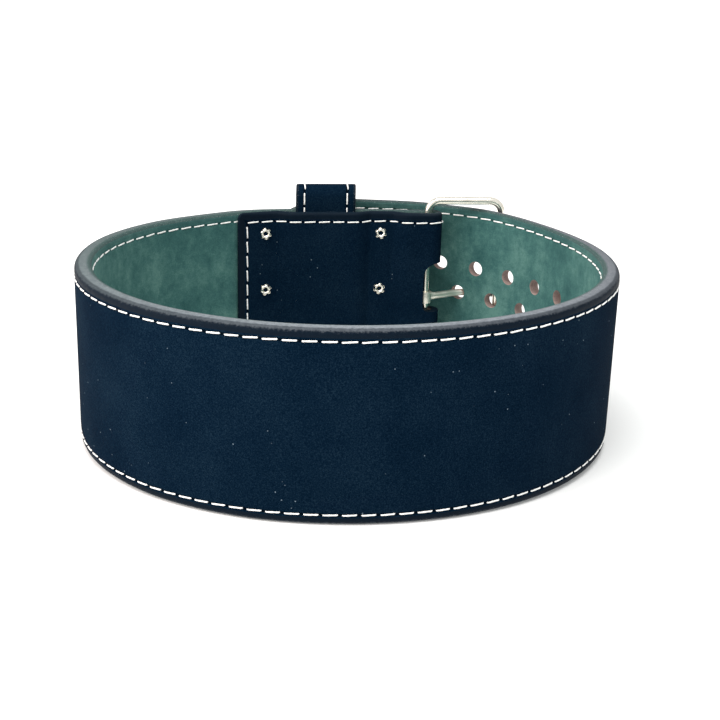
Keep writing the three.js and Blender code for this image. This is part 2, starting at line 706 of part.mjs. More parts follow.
function addPiece(group, name, geometry, material) {
  geometry.computeVertexNormals();
  const mesh = new THREE.Mesh(geometry, material);
  mesh.name = name;
  group.add(mesh);
  return mesh;
}

// The belt rests on its front edge and on the buckle, which reaches below the leather at the back
function restingTilt() {
  const frontEdge = -LOOP_DEPTH / 2 + SKIN_DEPTH + RIM_CHAMFER;
  const barY = Math.min(heelBar.y, toe.bar.y);
  return Math.atan2(FRAME_DROP, barY - frontEdge);
}

function buildBelt() {
  const tilt = restingTilt();
  const belt = new THREE.Group();
  addPiece(belt, 'strap_core', strapCore(), MATERIALS.leather);
  addPiece(belt, 'outer_suede', outerSuede(), MATERIALS.navy);
  addPiece(belt, 'lining_suede', liningSuede(), MATERIALS.green);
  addPiece(belt, 'keeper_loop', keeperLoop(tilt), MATERIALS.navy);
  addPiece(belt, 'buckle_frame', buckleFrame(), MATERIALS.nickel);
  addPiece(belt, 'prong', prong(), MATERIALS.nickel);
  rivetPlaces().forEach(({ s, height, grip }, i) => {
    const geometry = placeAcross(rivet(grip), s, 0, height);
    addPiece(belt, `rivet_${i + 1}`, geometry, MATERIALS.nickel);
  });
  belt.rotation.x = tilt;
  return belt;
}

// Stands the belt on the ground, centred over the origin
function standOnGround(belt) {
  const group = new THREE.Group();
  group.add(belt);
  group.updateMatrixWorld(true);
  const box = new THREE.Box3().setFromObject(belt, true);
  const centre = box.getCenter(new THREE.Vector3());
  belt.position.set(-centre.x, -centre.y, -box.min.z);
  group.updateMatrixWorld(true);
  return group;
}

const group = standOnGround(buildBelt());

export default group;
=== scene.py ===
"""The looks of a prong weightlifting belt: suede, edges, stitches, rivets, buckle, keeper, camera and light.

Lengths are in millimetres in the belt's own frame (front towards -Y, lower edge at z = 0)
and become metres in the row's frame in world().
"""

import math

import bpy
import bmesh
import numpy as np
from mathutils import Matrix, Vector

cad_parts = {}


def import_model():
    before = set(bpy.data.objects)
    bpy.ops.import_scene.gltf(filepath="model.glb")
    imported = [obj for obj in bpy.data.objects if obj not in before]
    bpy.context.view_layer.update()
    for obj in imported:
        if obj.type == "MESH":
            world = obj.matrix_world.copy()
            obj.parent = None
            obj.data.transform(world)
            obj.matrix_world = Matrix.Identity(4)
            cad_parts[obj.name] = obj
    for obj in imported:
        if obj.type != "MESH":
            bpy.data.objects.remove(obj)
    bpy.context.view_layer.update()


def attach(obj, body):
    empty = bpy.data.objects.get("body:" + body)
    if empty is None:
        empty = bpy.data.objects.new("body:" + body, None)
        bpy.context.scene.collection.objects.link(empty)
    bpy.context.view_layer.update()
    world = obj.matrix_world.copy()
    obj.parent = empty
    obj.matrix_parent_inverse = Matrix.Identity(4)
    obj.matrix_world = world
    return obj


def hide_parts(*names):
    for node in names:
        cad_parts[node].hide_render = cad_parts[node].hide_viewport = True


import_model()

# Sizes that the solids share
LOOP_WIDTH, LOOP_DEPTH = 303, 295
HEIGHT, THICKNESS = 100, 10
TIP_GAP, TIP_ROUND, TIP_THICKNESS, TIP_PARING = 18, 60, 6, 130
TIP_LIFT, LIFT_RUN, TIP_LEAN, LEAN_RUN = 2.2, 105, 0.14, 45
LEAF, FLAP_LENGTH, FLAP_END, FLAP_PARING, SKIVE_RUN = 5, 129.8, 2.6, 22, 46
LINING_UNDER_FLAP, BAR_HOLD, BAR_SLIDE, CLEARANCE = 9, 14, 1.6, 0.3
WIRE, FRAME_LENGTH, WINDOW_PLAY, FRAME_CORNER = 5, 48.5, 4.7, 8
PRONG, PRONG_EYE_WALL, PRONG_EYE_HEIGHT = 4.5, 1.6, 8
PRONG_HOLE_FROM_BAR, PRONG_OVERHANG = 26.8, 8
SLOT_HEIGHT, SLOT_CORNER = 33, 9
HOLE, HOLE_PITCH, HOLE_ROW_OFFSET = 9.4, 26.4, 9.5
HOLES_TOWARDS_TIP, HOLES_TOWARDS_FRONT = 3, 4
RIVET_COLUMNS, RIVET_MIDDLE_ROW, RIVET_ROW_SPACING = (32.6, FLAP_LENGTH - 20.6), 48.5, 37.5
RIVET_CAP, RIVET_CAP_HEIGHT, RIVET_PETAL_SPREAD, RIVET_PRESS = 9.6, 1.5, 8, 7.5
KEEPER_FROM_BAR, KEEPER_WIDTH, KEEPER_THICKNESS = 69, 39, 2.5
KEEPER_RISE, KEEPER_BEND, KEEPER_PLAY, KEEPER_SKEW = 15.7, 6, 1.1, 0.11

# The outer face on the plan: bearing in degrees, reach as a share of the loop's half size,
# and how far it has moved in behind the tip
PLAN = (
    (206, 1.11, 0), (195, 1.062, 0), (180, 1.042, 0), (160, 1.06, 0), (140, 1.038, 0),
    (120, 0.999, 0), (100, 0.987, 0), (80, 0.98, 0), (60, 0.969, 0), (40, 0.961, 0),
    (20, 0.958, 0), (0, 0.97, 0), (-20, 0.996, 0), (-40, 1.022, 0), (-60, 1.033, 0),
    (-80, 1.025, 0), (-100, 1.003, 0), (-120, 0.962, 0), (-140, 0.938, 0.13),
    (-151, 0.968, 0.4), (-162, 1.0, 0.78), (-174, 1.03, 1), (-187, 1.049, 1.02),
    (-199.8, 1.06, 0.7),
)

# How the belt stands: it leans back on the buckle's lower rail
TILT = 0.0200134
SHIFT = np.array([2.6063, -10.6078, 2.8830])

# The camera, in the belt's own frame, looking down by CAMERA_DOWN degrees
CAMERA_PLACE = (4.87, -710.75, 277.82)
CAMERA_DOWN, CAMERA_ROLL, CAMERA_LENS = 18.722, 1.608, 64.48

# Finish
RIM_ROUND = 3.1
STITCH_INSET, STITCH_LENGTH, THREAD = 5.6, 8.0, 0.8
OUTER_PITCH, INNER_PITCH, KEEPER_PITCH = 9.4, 9.6, 9.2
STITCH_SLANT, SLANT_SPREAD = 0.045, 0.02
TOP_ROW_DROP, END_ROW_DROP = 0.6, 1.3
OUTER_PAINT, INNER_PAINT = 4.2, 1.7  # how far in from the edge its paint reaches on each face
EDGE_TONES_SPAN = 1.3                # metres of strap that the edge's tones, wear with a painted highlight, are spread over
FLOOR_REACH = 30.0

MID = HEIGHT / 2
HALF = THICKNESS / 2
BAR_SPACE = WIRE + 2 * CLEARANCE
KEEPER_SPACE = KEEPER_THICKNESS + 2 * KEEPER_PLAY
KEEPER_INNER_LEAF = HALF - LEAF - KEEPER_SPACE / 2
FRAME_DROP = WIRE + CLEARANCE
FRAME_TOP = HEIGHT + WINDOW_PLAY + WIRE


def smooth(value, start, end):
    share = np.clip((np.asarray(value, float) - start) / (end - start), 0, 1)
    return share * share * (3 - 2 * share)


def unit(v):
    return v / np.linalg.norm(v, axis=-1, keepdims=True)


def interpolate(at, known, points):
    """Places on a line of points, where known measures each point along it."""
    return np.stack([np.interp(at, known, points[:, k]) for k in range(points.shape[1])], -1)


def hermite(start, end, leaving, arriving, t):
    """A place on the cubic between two points, from its velocities at its ends."""
    return ((2 * start - 2 * end + leaving + arriving) * t**3
            + (-3 * start + 3 * end - 2 * leaving - arriving) * t**2 + leaving * t + start)


def world(points):
    """Belt millimetres to the row's frame in metres."""
    p = np.asarray(points, float)
    c, s = math.cos(TILT), math.sin(TILT)
    turned = np.stack([p[..., 0], c * p[..., 1] - s * p[..., 2], s * p[..., 1] + c * p[..., 2]], -1)
    return (turned + SHIFT) / 1000


# The belt's line

class Track:
    """A line on the plan that gives its place, heading and outward side at any length."""

    def __init__(self, points):
        self.points = np.asarray(points, float)
        steps = np.linalg.norm(np.diff(self.points, axis=0), axis=1)
        self.lengths = np.concatenate([[0], np.cumsum(steps)])
        self.length = float(self.lengths[-1])

    def place(self, s):
        return interpolate(s, self.lengths, self.points)

    def at(self, s):
        s = np.asarray(s, float)
        tangent = unit(self.place(s + 1) - self.place(s - 1))
        normal = np.stack([-tangent[..., 1], tangent[..., 0]], -1)
        return self.place(s), tangent, normal


def outer_face():
    """A smooth line through the plan's places, from the free tip's end round to the heel bar."""
    tuck_share = (TIP_GAP + THICKNESS) / ((LOOP_WIDTH + LOOP_DEPTH) / 4)
    plan = np.array(PLAN, float)
    angle = np.radians(plan[:, 0])
    share = plan[:, 1] - plan[:, 2] * tuck_share
    stations = np.stack([LOOP_WIDTH / 2 * share * np.sin(angle), -LOOP_DEPTH / 2 * share * np.cos(angle)], -1)
    count = len(stations)
    points = []
    for i in range((count - 1) * 20 + 1):
        k = i // 20
        p0, p1, p2, p3 = (stations[min(max(k + step, 0), count - 1)] for step in (-1, 0, 1, 2))
        points.append(hermite(p1, p2, (p2 - p0) / 2, (p3 - p1) / 2, i / 20 - k))
    return Track(points)


def run_line():
    face = outer_face()
    count = math.ceil(face.length)
    place, _, normal = face.at(face.length * np.arange(count + 1) / count)
    return Track(place - normal * HALF)


run = run_line()
BAR_PLACE, BAR_TANGENT, BAR_NORMAL = run.at(run.length)
FOLD_CENTRE = BAR_PLACE + BAR_NORMAL * (HALF - LEAF - BAR_SPACE / 2)
HEEL_BAR = FOLD_CENTRE - BAR_TANGENT * BAR_SLIDE


def run_thickness(from_bar):
    start = FLAP_LENGTH + 4 - SKIVE_RUN
    return LEAF + (THICKNESS - LEAF) * smooth(from_bar, start, start + SKIVE_RUN)


def flap_thickness(from_bar):
    return LEAF + (FLAP_END - LEAF) * smooth(from_bar, FLAP_LENGTH - FLAP_PARING, FLAP_LENGTH)


def flap_gap(from_bar):
    near, far = RIVET_COLUMNS
    rows = (
        (0, BAR_SPACE), (BAR_HOLD, BAR_SPACE),
        (near - RIVET_PRESS, CLEARANCE), (near + RIVET_PRESS, CLEARANCE),
        (KEEPER_FROM_BAR - KEEPER_WIDTH / 2, KEEPER_SPACE),
        (KEEPER_FROM_BAR + KEEPER_WIDTH / 2, KEEPER_SPACE),
        (far - RIVET_PRESS, CLEARANCE), (FLAP_LENGTH + 1, CLEARANCE),
    )
    gap = np.full_like(np.asarray(from_bar, float), rows[0][1])
    for (a, start), (b, end) in zip(rows, rows[1:]):
        gap = gap + (end - start) * smooth(from_bar, a, b)
    return gap


def folded_depth(from_bar):
    return run_thickness(from_bar) + flap_gap(from_bar) + flap_thickness(from_bar)


def strip_line():
    """The main run, half a turn round the bar, and the flap."""
    count = math.ceil(run.length)
    points = [run.place(run.length * np.arange(count) / count)]
    radius = BAR_SPACE / 2 + LEAF - HALF
    first = math.atan2(BAR_NORMAL[1], BAR_NORMAL[0])
    turns = math.ceil(math.pi * radius / 0.5)
    angle = first - math.pi * np.arange(turns + 1) / turns
    points.append(FOLD_CENTRE + radius * np.stack([np.cos(angle), np.sin(angle)], -1))
    steps = math.ceil(FLAP_LENGTH)
    from_bar = FLAP_LENGTH * np.arange(1, steps + 1) / steps
    place, _, normal = run.at(run.length - from_bar)
    points.append(place + normal * (THICKNESS - folded_depth(from_bar))[:, None])
    track = Track(np.concatenate(points))
    track.fold_start = run.length
    track.fold_end = run.length + math.pi * radius
    return track


strip = strip_line()
LINING_END = run.length - FLAP_LENGTH + LINING_UNDER_FLAP


def find_toe():
    """Where the frame, hung on the heel bar, comes to rest on the belt's outer face."""
    offset = HALF + CLEARANCE + WIRE / 2
    for s in np.arange(TIP_ROUND, run.length / 2, 0.5):
        place, tangent, normal = run.at(s)
        bar = place + normal * offset
        if place[0] > HEEL_BAR[0] and np.linalg.norm(bar - HEEL_BAR) > FRAME_LENGTH:
            return s, bar, tangent, normal
    raise ValueError("the frame doesn't reach the tip")


TOE_S, TOE_BAR, TOE_TANGENT, TOE_NORMAL = find_toe()
PRONG_HOLE_S = next(s for s in np.arange(TOE_S, TIP_ROUND, -0.25)
                    if np.linalg.norm(run.place(s) - HEEL_BAR) < PRONG_HOLE_FROM_BAR)


def lift(s):
    end = TOE_S + LIFT_RUN * 2 / 5
    return TIP_LIFT * (1 - smooth(s, end - LIFT_RUN, end))


def lean(s):
    return TIP_LEAN * (1 - smooth(s, TOE_S - LEAN_RUN, TOE_S))


def strip_thickness(s):
    s = np.asarray(s, float)
    on_flap = flap_thickness(np.clip(s - strip.fold_end, 0, FLAP_LENGTH))
    pared = (THICKNESS - TIP_THICKNESS) * (1 - smooth(s, TOE_S, TOE_S + TIP_PARING))
    return np.where(s <= strip.fold_start, run_thickness(run.length - s) - pared, on_flap)


def strip_point(s, depth, height):
    """A place in the belt: s along it, depth from its outer face, height above its lower edge."""
    s, depth, height = np.broadcast_arrays(*(np.asarray(v, float) for v in (s, depth, height)))
    place, _, normal = strip.at(s)
    out = HALF - depth - lean(s) * (height - MID)
    plan = place + normal * out[..., None]
    return np.stack([plan[..., 0], plan[..., 1], height + lift(s)], -1)


# Meshes

def add_mesh(name, verts, faces, materials, face_material=None, uvs=None, merge=0.0, flip_check=True):
    """A mesh object from points in the row's frame, smooth all over but for its sharp edges."""
    mesh = bpy.data.meshes.new(name)
    corners = [tuple(v) for v in np.asarray(verts, float)]
    mesh.from_pydata(corners, [], [tuple(int(i) for i in f) for f in faces])
    if uvs is not None:
        layer = mesh.uv_layers.new(name="finish")
        layer.data.foreach_set("uv", np.asarray(uvs, np.float32).reshape(-1))
    for material in materials:
        mesh.materials.append(material)
    if face_material is not None:
        mesh.polygons.foreach_set("material_index", np.asarray(face_material, np.int32))
    bm = bmesh.new()
    bm.from_mesh(mesh)
    if merge:
        bmesh.ops.remove_doubles(bm, verts=bm.verts, dist=merge)
        bmesh.ops.dissolve_degenerate(bm, dist=merge / 2, edges=bm.edges)
    if flip_check:
        bmesh.ops.recalc_face_normals(bm, faces=bm.faces)
    bm.to_mesh(mesh)
    bm.free()
    shade(mesh)
    obj = bpy.data.objects.new(name, mesh)
    bpy.context.scene.collection.objects.link(obj)
    return obj


def shade(mesh, degrees=38):
    mesh.shade_smooth()
    mesh.set_sharp_from_angle(angle=math.radians(degrees))


def round_angles(sides):
    return 2 * np.pi * np.arange(sides) / sides


def sweep(rings, looped=False, caps=True):
    """Faces over rings of points, each ring closed."""
    rings = np.asarray(rings, float)
    count, sides = rings.shape[:2]
    faces = []
    spans = count if looped else count - 1
    for i in range(spans):
        a, b = i * sides, ((i + 1) % count) * sides
        faces += [(a + j, a + (j + 1) % sides, b + (j + 1) % sides, b + j) for j in range(sides)]
    if caps and not looped:
        faces.append(tuple(range(sides)))
        faces.append(tuple(range((count - 1) * sides, count * sides))[::-1])
    return rings.reshape(-1, 3), faces


def gather(parts):
    """Several (points, faces) as one."""
    verts, faces, start = [], [], 0
    for points, part_faces in parts:
        verts.append(np.asarray(points, float).reshape(-1, 3))
        faces += [tuple(i + start for i in f) for f in part_faces]
        start += len(verts[-1])
    return np.concatenate(verts), faces


def lathe(profile, sides, caps=True):
    """Rings round +Z through (radius, z) points."""
    angle = round_angles(sides)
    rings = [np.stack([r * np.cos(angle), r * np.sin(angle), np.full(sides, z)], -1) for r, z in profile]
    return sweep(rings, caps=caps)


def put_across(points, s, height):
    """Sets points on the belt's outer face: +X along the belt, +Y up it and +Z out of it."""
    out = unit(strip_point(s, -1, height) - strip_point(s, 1, height))
    _, tangent, _ = strip.at(s)
    up = unit(np.cross(out, np.array([tangent[0], tangent[1], 0])))
    return strip_point(s, 0, height) + points @ np.stack([np.cross(up, out), up, out])


# Node materials

class Nodes:
    """A short way to write a node material."""

    def __init__(self, name):
        self.material = bpy.data.materials.new(name)
        self.material.use_nodes = True
        self.tree = self.material.node_tree
        self.tree.nodes.clear()
        self.shader = self.tree.nodes.new("ShaderNodeBsdfPrincipled")
        out = self.tree.nodes.new("ShaderNodeOutputMaterial")
        self.tree.links.new(self.shader.outputs[0], out.inputs["Surface"])
        self.place = self.add("ShaderNodeTexCoord").outputs["Object"]

    def add(self, kind, **values):
        node = self.tree.nodes.new(kind)
        for key, value in values.items():
            setattr(node, key, value)
        return node

    def link(self, value, socket):
        if hasattr(value, "links"):
            self.tree.links.new(value, socket)
        else:
            socket.default_value = value

    def noise(self, scale, detail, rough, stretch=None):
        node = self.add("ShaderNodeTexNoise")
        node.inputs["Scale"].default_value = scale
        node.inputs["Detail"].default_value = detail
        node.inputs["Roughness"].default_value = rough
        place = self.place
        if stretch:
            mapping = self.add("ShaderNodeMapping")
            mapping.inputs["Scale"].default_value = stretch
            self.tree.links.new(self.place, mapping.inputs["Vector"])
            place = mapping.outputs[0]
        self.tree.links.new(place, node.inputs["Vector"])
        return node.outputs[0]

    def cells(self, scale):
        node = self.add("ShaderNodeTexVoronoi")
        node.inputs["Scale"].default_value = scale
        self.tree.links.new(self.place, node.inputs["Vector"])
        return node

    def math(self, operation, a, b=0.0):
        node = self.add("ShaderNodeMath", operation=operation)
        self.link(a, node.inputs[0])
        self.link(b, node.inputs[1])
        return node.outputs[0]

    def weigh(self, *pairs):
        """The sum of some values, each times its weight."""
        parts = [self.math("MULTIPLY", value, weight) for value, weight in pairs]
        total = parts[0]
        for part in parts[1:]:
            total = self.math("ADD", total, part)
        return total

    def ramp(self, value, stops):
        node = self.add("ShaderNodeValToRGB")
        ramp = node.color_ramp
        while len(ramp.elements) < len(stops):
            ramp.elements.new(0.5)
        for element, (position, colour) in zip(ramp.elements, stops):
            element.position = position
            element.color = (*colour, 1)
        self.link(value, node.inputs[0])
        return node.outputs[0]

    def span(self, value, low, high, to_low=0.0, to_high=1.0):
        node = self.add("ShaderNodeMapRange", interpolation_type="SMOOTHSTEP")
        self.link(value, node.inputs[0])
        for socket, number in zip(node.inputs[1:5], (low, high, to_low, to_high)):
            socket.default_value = number
        return node.outputs[0]

    def mix(self, share, a, b):
        node = self.add("ShaderNodeMix", data_type="RGBA")
        self.link(share, node.inputs[0])
        for value, socket in ((a, node.inputs[6]), (b, node.inputs[7])):
            if isinstance(value, tuple):
                socket.default_value = (*value, 1)
            else:
                self.tree.links.new(value, socket)
        return node.outputs[2]

    def bump(self, height, strength, distance, below=None):
        node = self.add("ShaderNodeBump")
        node.inputs["Strength"].default_value = strength
        node.inputs["Distance"].default_value = distance
        self.link(height, node.inputs["Height"])
        if below is not None:
            self.tree.links.new(below, node.inputs["Normal"])
        return node.outputs[0]

    def finish_uv(self):
        """Two coordinates: on a face, the count of stitches along and millimetres in from the edge.

        On an edge they are metres along the strap and the share of its thickness from outside.
        """
        node = self.add("ShaderNodeUVMap", uv_map="finish")
        split = self.add("ShaderNodeSeparateXYZ")
        self.tree.links.new(node.outputs[0], split.inputs[0])
        return split.outputs[0], split.outputs[1]

    def set(self, **values):
        names = {"base": "Base Color", "rough": "Roughness", "metal": "Metallic", "normal": "Normal",
                 "sheen": "Sheen Weight", "sheen_rough": "Sheen Roughness", "sheen_tint": "Sheen Tint",
                 "specular": "Specular IOR Level", "glow": "Emission Color",
                 "glow_strength": "Emission Strength"}
        for key, value in values.items():
            socket = self.shader.inputs[names[key]]
            if isinstance(value, tuple):
                socket.default_value = (*value, 1)
            else:
                self.link(value, socket)
        return self.material


def srgb(r, g, b):
    return tuple((v / 255 / 12.92) if v <= 10 else ((v / 255 + 0.055) / 1.055) ** 2.4 for v in (r, g, b))


def stitch_marks(n, pitch):
    """How deep the stitch groove and its needle holes press at a place: 0 none, 1 most."""
    count, inset = n.finish_uv()
    aside = n.math("ABSOLUTE", n.math("SUBTRACT", inset, STITCH_INSET))
    groove = n.span(aside, 0.3, 1.1, 1, 0)
    phase = n.math("FRACT", n.math("ADD", count, 0.5))
    along = n.math("MULTIPLY", n.math("ABSOLUTE", n.math("SUBTRACT", phase, 0.5)), pitch)
    reach = n.math("SQRT", n.math("ADD", n.math("POWER", along, 2.0), n.math("POWER", aside, 2.0)))
    holes = n.span(reach, 0.35, 1.0, 1, 0)
    return groove, holes, inset


def nap(n):
    """Short suede fibres: their height, and a finer layer for the bump."""
    fibre = n.noise(1400, 4, 0.7)
    fine = n.noise(3600, 2, 0.6)
    return fibre, n.weigh((fibre, 0.6), (fine, 0.4))


def stitched(n, colour, pitch, groove_shade, hole_shade, relief, strength):
    """Paints shade into the stitch groove and needle holes, and presses them into the nap."""
    groove, holes, inset = stitch_marks(n, pitch)
    # Painted shade: the stitch groove and the needle holes are darkened towards black.
    colour = n.mix(n.math("MULTIPLY", groove, groove_shade), colour, (0, 0, 0))
    colour = n.mix(n.math("MULTIPLY", holes, hole_shade), colour, (0, 0, 0))
    under = n.bump(n.weigh((groove, -0.4), (holes, -1.0)), 0.7, 0.0005)
    return colour, n.bump(relief, strength, 0.0004, below=under), inset


def green_suede():
    """Sea-green nap, brushed in soft upright streaks and patches, worn paler in places."""
    n = Nodes("green suede")
    cloud = n.noise(34, 5, 0.65)
    streak = n.noise(90, 4, 0.6, stretch=(1, 1, 0.35))
    scuff = n.noise(260, 4, 0.75)
    fibre, relief = nap(n)
    tone = n.weigh((cloud, 0.56), (streak, 0.22), (scuff, 0.24), (n.math("SUBTRACT", fibre, 0.5), 0.3))
    colour = n.ramp(tone, [(0.36, srgb(40, 76, 76)), (0.5, srgb(58, 97, 94)), (0.64, srgb(85, 123, 116))])
    # The stitch groove and needle holes get painted shade here.
    colour, normal, inset = stitched(n, colour, INNER_PITCH, 0.12, 0.45, relief, 0.55)
    colour = n.mix(n.span(inset, 2.6, 4.2, 0.35, 0), colour, srgb(48, 66, 66))
    return n.set(base=colour, rough=0.95, specular=0.06, sheen=0.14, sheen_rough=0.5,
                 sheen_tint=srgb(150, 195, 185), normal=normal)


def navy_suede():
    """Near-black navy nap with a faint teal mottle and a few specks of lint."""
    n = Nodes("navy suede")
    cloud = n.noise(30, 3, 0.5)
    fibre, relief = nap(n)
    tone = n.weigh((cloud, 0.2), (fibre, 0.8))
    colour = n.ramp(tone, [(0.34, srgb(0, 12, 27)), (0.5, srgb(5, 23, 39)), (0.66, srgb(22, 40, 54))])
    # The stitch groove and needle holes get painted shade here.
    colour, normal, _ = stitched(n, colour, OUTER_PITCH, 0.35, 0.6, relief, 0.45)
    lint = n.cells(230)
    speck = n.math("MULTIPLY", n.span(lint.outputs["Distance"], 0.05, 0.1, 1, 0),
                   n.span(lint.outputs["Color"], 0.7, 0.74))
    colour = n.mix(n.math("MULTIPLY", speck, 0.75), colour, srgb(120, 138, 150))
    return n.set(base=colour, rough=0.95, specular=0.02, normal=normal)


def edge_finish():
    """The painted edge, by length along the strap in metres and share of the way across the edge.

    Dark and smooth on the outer rounding and grey over the top, with a frayed green fringe inside. The grey
    is partly wear and partly a painted highlight, and its change in tone along the strap, brightest at the
    front, is a painted reflection.
    """
    n = Nodes("edge paint")
    length, share = n.finish_uv()
    rough_line = n.math("MULTIPLY", n.math("SUBTRACT", n.noise(800, 4, 0.75), 0.5), 0.22)
    across = n.math("ADD", share, rough_line)
    layer = n.noise(420, 4, 0.7)
    along = n.math("MULTIPLY", length, 1 / EDGE_TONES_SPAN)
    # Tones of the grey top along the strap: wear plus a painted highlight, brightest at the front where it is
    # a painted reflection.
    at_tip, at_front = srgb(62, 60, 63), srgb(130, 137, 143)
    at_side, on_flap = srgb(86, 99, 98), srgb(6, 22, 34)
    worn_and_highlight = n.ramp(along, [(0.0, at_tip), (0.4, at_front), (0.6, at_side), (0.74, at_side), (0.8, on_flap)])
    worn_and_highlight = n.mix(n.span(layer, 0.3, 0.7, 0.4, 0), worn_and_highlight, srgb(24, 36, 46))
    paint = n.mix(layer, srgb(1, 12, 24), srgb(10, 24, 36))
    edge = n.mix(0.35, paint, worn_and_highlight)
    colour = n.mix(n.span(across, 0.04, 0.12), paint, edge)
    colour = n.mix(n.span(across, 0.2, 0.32), colour, worn_and_highlight)
    fringe = n.mix(layer, srgb(30, 50, 52), srgb(76, 98, 94))
    colour = n.mix(n.span(across, 0.62, 0.78), colour, fringe)
    fleck = n.math("MULTIPLY", n.span(n.noise(2600, 2, 0.5), 0.66, 0.72), n.span(across, 0.3, 0.6))
    colour = n.mix(n.math("MULTIPLY", fleck, 0.55), colour, srgb(226, 230, 232))
    normal = n.bump(layer, 0.3, 0.0003)
    return n.set(base=colour, rough=n.span(layer, 0.3, 0.7, 0.5, 0.65), specular=0.06, normal=normal)


def raw_leather():
    """Undyed fibres where the leather is cut: pinkish grey."""
    n = Nodes("raw leather")
    fibre = n.noise(1600, 3, 0.7, stretch=(1, 1, 2))
    tone = n.weigh((n.noise(300, 4, 0.65), 0.5), (fibre, 0.5))
    colour = n.ramp(tone, [(0.3, srgb(112, 94, 90)), (0.5, srgb(142, 124, 118)), (0.72, srgb(170, 154, 148))])
    return n.set(base=colour, rough=0.85, specular=0.15, normal=n.bump(tone, 0.7, 0.0005))


def nickel(name, gloss, satin):
    """Nickel plate with a faint uneven gloss."""
    n = Nodes(name)
    haze = n.noise(140, 4, 0.6)
    colour = n.ramp(haze, [(0.35, srgb(236, 231, 216)), (0.65, srgb(252, 248, 236))])
    rough = n.span(haze, 0.3, 0.7, gloss, satin)
    return n.set(base=colour, metal=1.0, rough=rough, normal=n.bump(n.noise(1500, 2, 0.5), 0.06, 0.0001))


def thread():
    """Waxed white thread with a twist."""
    n = Nodes("thread")
    fibre = n.noise(2200, 3, 0.6)
    colour = n.ramp(fibre, [(0.3, srgb(228, 230, 227)), (0.7, srgb(252, 252, 249))])
    return n.set(base=colour, rough=0.55, specular=0.3, sheen=0.1, sheen_rough=0.4,
                 normal=n.bump(fibre, 0.25, 0.00015))


GREEN = green_suede()
NAVY = navy_suede()
EDGE = edge_finish()
RAW = raw_leather()
NICKEL = nickel("nickel", 0.14, 0.26)
SATIN_NICKEL = nickel("satin nickel", 0.36, 0.48)
THREAD_FINISH = thread()


# The strap

FACE_INSETS = (50, 40, 31, 23, 16.5, 12, 9.6, 8.2, 7.3, 6.7, 6.15, 5.6, 5.05, 4.5, 4.0, 3.5)
ARC_STEPS = 6
FLAP_CORNER = 4.0
FOLD_CLEAR = 0.2  # how much further off the heel bar the inside of the fold stays


def edge_stations():
    """Places round the strap's outline, as (kind, value).

    The kinds are lower, nose, upper, corner_up, end and corner_low.
    """
    body = np.linspace(TIP_ROUND, strip.fold_start, round((strip.fold_start - TIP_ROUND) / 2.5) + 1)
    fold = np.linspace(strip.fold_start, strip.fold_end, 17)[1:]
    flap = np.linspace(strip.fold_end, strip.length - FLAP_CORNER, 62)[1:]
    line = np.concatenate([body, fold, flap])
    stations = [("lower", s) for s in line[::-1]]
    stations += [("nose", a) for a in np.radians(np.linspace(-90, 90, 61))[1:-1]]
    stations += [("upper", s) for s in line]
    stations += [("corner_up", a) for a in np.radians(np.linspace(90, 0, 7))[1:-1]]
    stations += [("end", h) for h in np.linspace(HEIGHT - FLAP_CORNER, FLAP_CORNER, 47)]
    stations += [("corner_low", a) for a in np.radians(np.linspace(0, -90, 7))[1:-1]]
    return stations


def edge_point(kind, value, inset, outer=False):
    """Where a place lies, as (s, height), a distance in from the outline.

    On the outer face the stitch row is set further in along the top and the flap's end.
    """
    last = strip.length
    if outer:
        drop = {"upper": TOP_ROW_DROP, "end": END_ROW_DROP}.get(kind, 0)
        inset += drop * float(smooth(inset, 2.5, 4.6) * (1 - smooth(inset, 12, 40)))
    if kind == "lower":
        return value, min(inset, MID, last - value)
    if kind == "upper":
        return value, HEIGHT - min(inset, MID, last - value)
    if kind == "nose":
        inset = min(inset, MID)
        return (TIP_ROUND - (TIP_ROUND - inset) * math.cos(value), MID + (MID - inset) * math.sin(value))
    if kind == "end":
        return last - min(inset, MID, value, HEIGHT - value), value
    inset = min(inset, FLAP_CORNER)
    centre = HEIGHT - FLAP_CORNER if kind == "corner_up" else FLAP_CORNER
    reach = FLAP_CORNER - inset
    return last - FLAP_CORNER + reach * math.cos(value), centre + reach * math.sin(value)


def pressed(inset):
    """How deep the face lies below its middle: a groove under the stitches and a lower band outside it."""
    groove = 0.2 * np.exp(-((inset - STITCH_INSET) / 0.9) ** 2)
    return groove + 0.12 * (1 - smooth(inset, 5.2, 9.0))


def strap_grid():
    """The strap's rings: s, height, depth and inset for each outline place and each step over the edge."""
    arc = np.linspace(0, np.pi / 2, ARC_STEPS + 1)
    rows = []
    for kind, value in STATIONS:
        s_edge, _ = edge_point(kind, value, 0)
        thick = float(strip_thickness(s_edge))
        round_by = min(RIM_ROUND, 0.46 * thick)
        rounding = [(round_by * (1 - math.sin(a)),
                     round_by * (1 - math.cos(a)) + pressed(round_by) * math.cos(a)) for a in arc]
        steps = [(e, 0, pressed(e)) for e in FACE_INSETS]
        steps += [(inset, 0, depth) for inset, depth in rounding]
        steps += [(-0.1, 1, round_by + (thick - 2 * round_by) * share) for share in (0.33, 0.67)]
        steps += [(inset, 2, depth) for inset, depth in rounding[::-1]]
        steps += [(e, 2, pressed(e)) for e in FACE_INSETS[::-1]]
        row = []
        for inset, side, depth in steps:
            s, height = edge_point(kind, value, inset, side == 0)
            if side == 2:
                depth = float(strip_thickness(s)) - depth
                if strip.fold_start < s < strip.fold_end:
                    depth -= FOLD_CLEAR
            row.append((s, height, depth, inset))
        rows.append(row)
    return np.moveaxis(np.array(rows, float), -1, 0)


STATIONS = edge_stations()
S_GRID, H_GRID, D_GRID, INSET_GRID = strap_grid()
SHARE_GRID = D_GRID / strip_thickness(S_GRID)
POINT_GRID = strip_point(S_GRID, D_GRID, H_GRID)
OUTER_ROW = FACE_INSETS.index(STITCH_INSET)
INNER_ROW = S_GRID.shape[1] - 1 - OUTER_ROW


